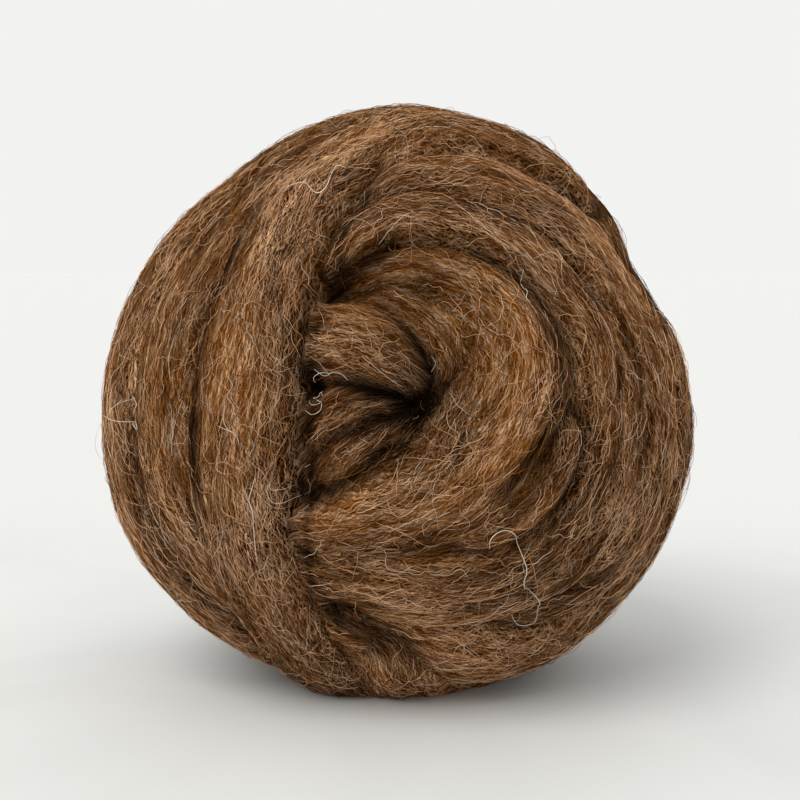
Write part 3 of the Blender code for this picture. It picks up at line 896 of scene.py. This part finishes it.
def pale_fibres(name):
    rows, thicknesses, outward = [], [], []
    for lift, thickness, pixels in PALE_FIBRES:
        knots = np.array([seen(*in_millimetres(*pixel)) for pixel in pixels])
        knots = np.vstack((2 * knots[:1] - knots[1:2], knots, 2 * knots[-1:] - knots[-2:-1]))
        spots = np.linspace(0, len(knots) - 3, PALE_RINGS)
        first = np.minimum(spots.astype(int), len(knots) - 4)
        share = (spots - first)[:, None]
        path = catmull_rom(knots[first], knots[first + 1], knots[first + 2], knots[first + 3], share)
        directions = unit(path)
        radius = survey(directions)["radius"]
        bridged = np.maximum(smoothed(smoothed(radius[None]))[0], radius)
        rows.append(directions * (bridged + lift)[:, None] + MIDDLE)
        thicknesses.append(thickness * (1 - 0.5 * np.abs(np.linspace(-1, 1, PALE_RINGS)) ** 4))
        outward.append(directions)
    colour = np.full(len(rows), PALE_SHADE)
    return fibre_piece(name, np.array(rows), np.array(thicknesses), np.array(outward), colour)


# ---------------- materials

def add_node(tree, kind, inputs, **settings):
    """A node with its settings, then its inputs: a socket is linked and anything else is a value."""
    made = tree.nodes.new("ShaderNode" + kind)
    for name, value in settings.items():
        setattr(made, name, value)
    for key, value in inputs.items():
        if isinstance(value, bpy.types.NodeSocket):
            tree.links.new(value, made.inputs[key])
        else:
            made.inputs[key].default_value = value
    return made


def maths(tree, operation, *values):
    return add_node(tree, "Math", dict(enumerate(values)), operation=operation).outputs[0]


def vector_maths(tree, operation, *values):
    return add_node(tree, "VectorMath", dict(enumerate(values)), operation=operation).outputs[0]


def mapped(tree, value, low, high, new_low, new_high, **settings):
    """A value moved from one range into another."""
    ranges = {"Value": value, "From Min": low, "From Max": high, "To Min": new_low, "To Max": new_high}
    return add_node(tree, "MapRange", ranges, **settings).outputs[0]


def part_of(tree, vector, axis):
    return add_node(tree, "SeparateXYZ", {0: vector}).outputs[axis]


def cloud(tree, place, detail):
    """Smooth noise around 0.5 with cells of 1 by 1."""
    inputs = {"Vector": place, "Scale": 1.0, "Detail": detail}
    return add_node(tree, "TexNoise", inputs).outputs["Fac"]


def blended(tree, share, first, second):
    return add_node(tree, "Mix", {0: share, 6: first, 7: second}, data_type="RGBA").outputs[2]


def ramp(tree, factor, stops):
    """A colour ramp of (place, colour) stops."""
    made = add_node(tree, "ValToRGB", {"Fac": factor})
    elements = made.color_ramp.elements
    while len(elements) < len(stops):
        elements.new(1.0)
    for element, (place, colour) in zip(elements, stops):
        element.position = place
        element.color = (*colour, 1.0)
    return made.outputs["Color"]


def mesh_map(tree, name):
    return add_node(tree, "UVMap", {}, uv_map=name).outputs["UV"]


def mesh_value(tree, name):
    return add_node(tree, "Attribute", {}, attribute_name=name).outputs["Fac"]


def new_material(name, roughness, specular):
    material = bpy.data.materials.new(name)
    material.use_nodes = True
    shader = material.node_tree.nodes["Principled BSDF"]
    shader.inputs["Roughness"].default_value = roughness
    shader.inputs["Specular IOR Level"].default_value = specular
    return material, material.node_tree, shader


def fibre_material():
    """Wool of many shades, a column of the fibres' map for each, lighter and darker along each fibre."""
    known = bpy.data.materials.get("wool_fibre")
    if known:
        return known
    material, tree, shader = new_material("wool_fibre", 0.62, 0.03)
    places = mesh_map(tree, "OFBake")
    shade = ramp(tree, part_of(tree, places, "X"), (
        (0.0, DARK_BROWN), (0.2, BROWN), (0.4, LIGHT_BROWN), (0.5, ORANGE), (0.6, ORANGE), (0.66, GREY_TAN),
        (0.8, GREY_TAN), (1.0, CREAM)))
    mottle = cloud(tree, vector_maths(tree, "MULTIPLY", places, (COLOUR_COLUMNS, 5.0, 1.0)), 1.0)
    bright = mapped(tree, mottle, 0.3, 0.7, 0.62, 1.20)
    tree.links.new(vector_maths(tree, "MULTIPLY", shade, bright), shader.inputs["Base Color"])
    return material


def fibre_lines(tree, strand, slant, spacing, width, light, layer):
    """Thin wavy lines of fibre side by side, each shown in short stretches."""
    leaning = add_node(tree, "VectorRotate", {"Vector": strand, "Angle": slant},
                       rotation_type="Z_AXIS").outputs[0]
    far_apart = (7.0 * layer, 3.0 * layer, 11.0 * layer)
    place = vector_maths(tree, "MULTIPLY_ADD", leaning, (1 / 6.0, 1 / 2.0, 0.0), far_apart)
    turns = maths(tree, "MULTIPLY", cloud(tree, place, 1.5), 2 * math.pi * LINE_DRIFT)
    phase = maths(tree, "MULTIPLY_ADD", part_of(tree, leaning, "Y"), 2 * math.pi / spacing, turns)
    edge = math.cos(math.pi * width / spacing)
    line = mapped(tree, maths(tree, "COSINE", phase), edge, (1 + edge) / 2, 0.0, 1.0)
    presence = cloud(tree, vector_maths(tree, "MULTIPLY", place, (1.6, 3.5, 1.7)), 0.0)
    return maths(tree, "MULTIPLY", line, mapped(tree, presence, 0.40, 0.62, 0.0, light))


def crimped_strand(tree, strand, length, sway):
    """The strand's places, swaying to its sides in short waves that drift in and out of step."""
    drift = cloud(tree, vector_maths(tree, "MULTIPLY", strand, (0.09, 0.4, 0.0)), 1.0)
    turns = maths(tree, "MULTIPLY", drift, 26.0)
    phase = maths(tree, "MULTIPLY_ADD", part_of(tree, strand, "X"), 2 * math.pi / length, turns)
    aside = add_node(tree, "CombineXYZ", {"Y": maths(tree, "SINE", phase)}).outputs[0]
    return vector_maths(tree, "MULTIPLY_ADD", aside, (0.0, sway, 0.0), strand)


def drawn_out(tree, strand, along, across):
    """Noise in cells of this size along and across the strand."""
    return cloud(tree, vector_maths(tree, "MULTIPLY", strand, (1 / along, 1 / across, 0.0)), 2.0)


def packed_colour(tree, packed, lines):
    """Dark wool, partly painted shade between fibres, under lines of fibre; both more orange where it is warm.
    """
    # the ground's darkness is partly painted shade between the fibres
    shaded_ground = ramp(tree, packed, ((0.45, DARK_BROWN), (0.60, BROWN), (0.80, LIGHT_BROWN)))
    cool = ramp(tree, packed, ((0.36, LIGHT_BROWN), (0.60, GREY_TAN)))
    warm = ramp(tree, packed, ((0.34, LIGHT_BROWN), (0.46, ORANGE), (0.60, GREY_TAN)))
    warmth_here = mesh_value(tree, "warmth")
    under = blended(tree, mapped(tree, warmth_here, 0.0, 1.0, 0.0, 0.22), shaded_ground, warm)
    return blended(tree, lines, under, blended(tree, warmth_here, cool, warm))


def surface_material():
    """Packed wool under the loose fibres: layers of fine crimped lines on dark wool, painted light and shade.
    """
    material, tree, shader = new_material("packed_wool", 0.85, 0.0)
    strand = mesh_map(tree, "strand")
    tight, loose = [crimped_strand(tree, strand, *crimp) for crimp in LINE_CRIMPS]
    lines = 0.0
    for layer, sizes in enumerate(LINE_LAYERS):
        lines = maths(tree, "MAXIMUM", lines, fibre_lines(tree, (tight, loose)[layer % 2], *sizes, layer + 1))
    packed = maths(tree, "MULTIPLY", drawn_out(tree, tight, 4.0, 0.5), 0.5)
    packed = maths(tree, "MULTIPLY_ADD", drawn_out(tree, loose, 14.0, 1.6), 0.5, packed)
    # the wool's tone with the painted light and shade of its patches and seams
    bright = mapped(tree, mesh_value(tree, "tone_and_painted_light"), -1.0, 1.0, *PAINTED_LIGHT_AND_TONE_RANGE)
    # painted shade in the creases and the eye
    shown = mapped(tree, mesh_value(tree, "crease"), 0.0, 1.0, 1.0, CREASE_LIGHT)
    shade = maths(tree, "MULTIPLY", bright, shown)
    colour = vector_maths(tree, "MULTIPLY", packed_colour(tree, packed, lines), shade)
    tree.links.new(colour, shader.inputs["Base Color"])
    relief = maths(tree, "MULTIPLY_ADD", lines, 0.5, packed)
    bump = add_node(tree, "Bump", {"Height": relief, "Strength": 0.8, "Distance": 0.0004})
    tree.links.new(bump.outputs["Normal"], shader.inputs["Normal"])
    return material


# ---------------- stage, light and camera

def floor_material():
    """Pale matt stone with faint soft veins, plain behind the ball."""
    material, tree, shader = new_material("pale_floor", 0.6, 0.2)
    place = add_node(tree, "NewGeometry", {}).outputs["Position"]
    behind = mapped(tree, part_of(tree, place, "Y"), 0.04, 0.28, 0.0, 1.0, interpolation_type="SMOOTHSTEP")
    veins = {"Vector": place, "Scale": 5.0, "Detail": 3.0, "Distortion": 1.5}
    drift = add_node(tree, "TexNoise", veins).outputs["Fac"]
    near = ramp(tree, drift, ((0.35, VEIN_COLOUR), (0.55, FLOOR_COLOUR)))
    tree.links.new(blended(tree, behind, near, (*FAR_FLOOR_COLOUR, 1.0)), shader.inputs["Base Color"])
    return material


def stage():
    """A wide floor, just under the ball, and light from all round that is a little stronger from behind."""
    bpy.ops.mesh.primitive_plane_add(size=12.0, location=(0.0, 0.0, -0.0002))
    floor = bpy.context.object
    floor.name = "floor"
    floor.data.materials.append(floor_material())
    world = bpy.data.worlds.new("soft_light")
    bpy.context.scene.world = world
    world.use_nodes = True
    tree = world.node_tree
    towards = add_node(tree, "TexCoord", {}).outputs["Generated"]
    background = tree.nodes["Background"]
    background.inputs["Color"].default_value = (1.0, 1.0, 0.985, 1.0)
    strength = mapped(tree, part_of(tree, towards, "Y"), -0.6, 0.9, *SKY_STRENGTH)
    tree.links.new(strength, background.inputs["Strength"])


def aimed(name, data, place, back):
    """A light or camera at a place, looking away from the direction at its back."""
    made = bpy.data.objects.new(name, data)
    made.location = place
    made.rotation_mode = "QUATERNION"
    made.rotation_quaternion = (-back).to_track_quat("-Z", "Y")
    bpy.context.scene.collection.objects.link(made)
    return made


def key_light():
    """A broad soft light from far away, from the left and above in front."""
    light = bpy.data.lights.new("key", "SUN")
    light.angle = math.radians(KEY_LIGHT_SPREAD)
    light.energy = KEY_LIGHT_STRENGTH
    light.color = KEY_LIGHT_COLOUR
    aimed("key", light, KEY_LIGHT_PLACE, Vector(KEY_LIGHT_PLACE))


def camera():
    back = Vector(from_front(0.0, 0.0, 1.0))
    place = Vector(MIDDLE * MM) + back * EYE_DISTANCE * MM
    made = aimed("camera", bpy.data.cameras.new("camera"), place, back)
    made.data.sensor_width = SENSOR_WIDTH
    made.data.lens = SENSOR_WIDTH * EYE_DISTANCE * PIXELS_PER_MM / PICTURE_SIDE
    made.data.shift_y = (MIDDLE_PIXEL[1] - PICTURE_SIDE / 2) / PICTURE_SIDE
    made.data.clip_start = 0.01
    made.data.clip_end = 50.0
    bpy.context.scene.camera = made


def main():
    camera()
    bpy.context.scene.view_settings.view_transform = "Standard"
    stage()
    key_light()
    surface = wool_surface()
    pieces = [surface]
    pieces += [fibres(*kind) for kind in FIBRE_KINDS]
    pieces.append(pale_fibres("pale_fibres"))
    for piece in pieces:
        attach(piece, "root")
    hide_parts("roving_ball")


main()
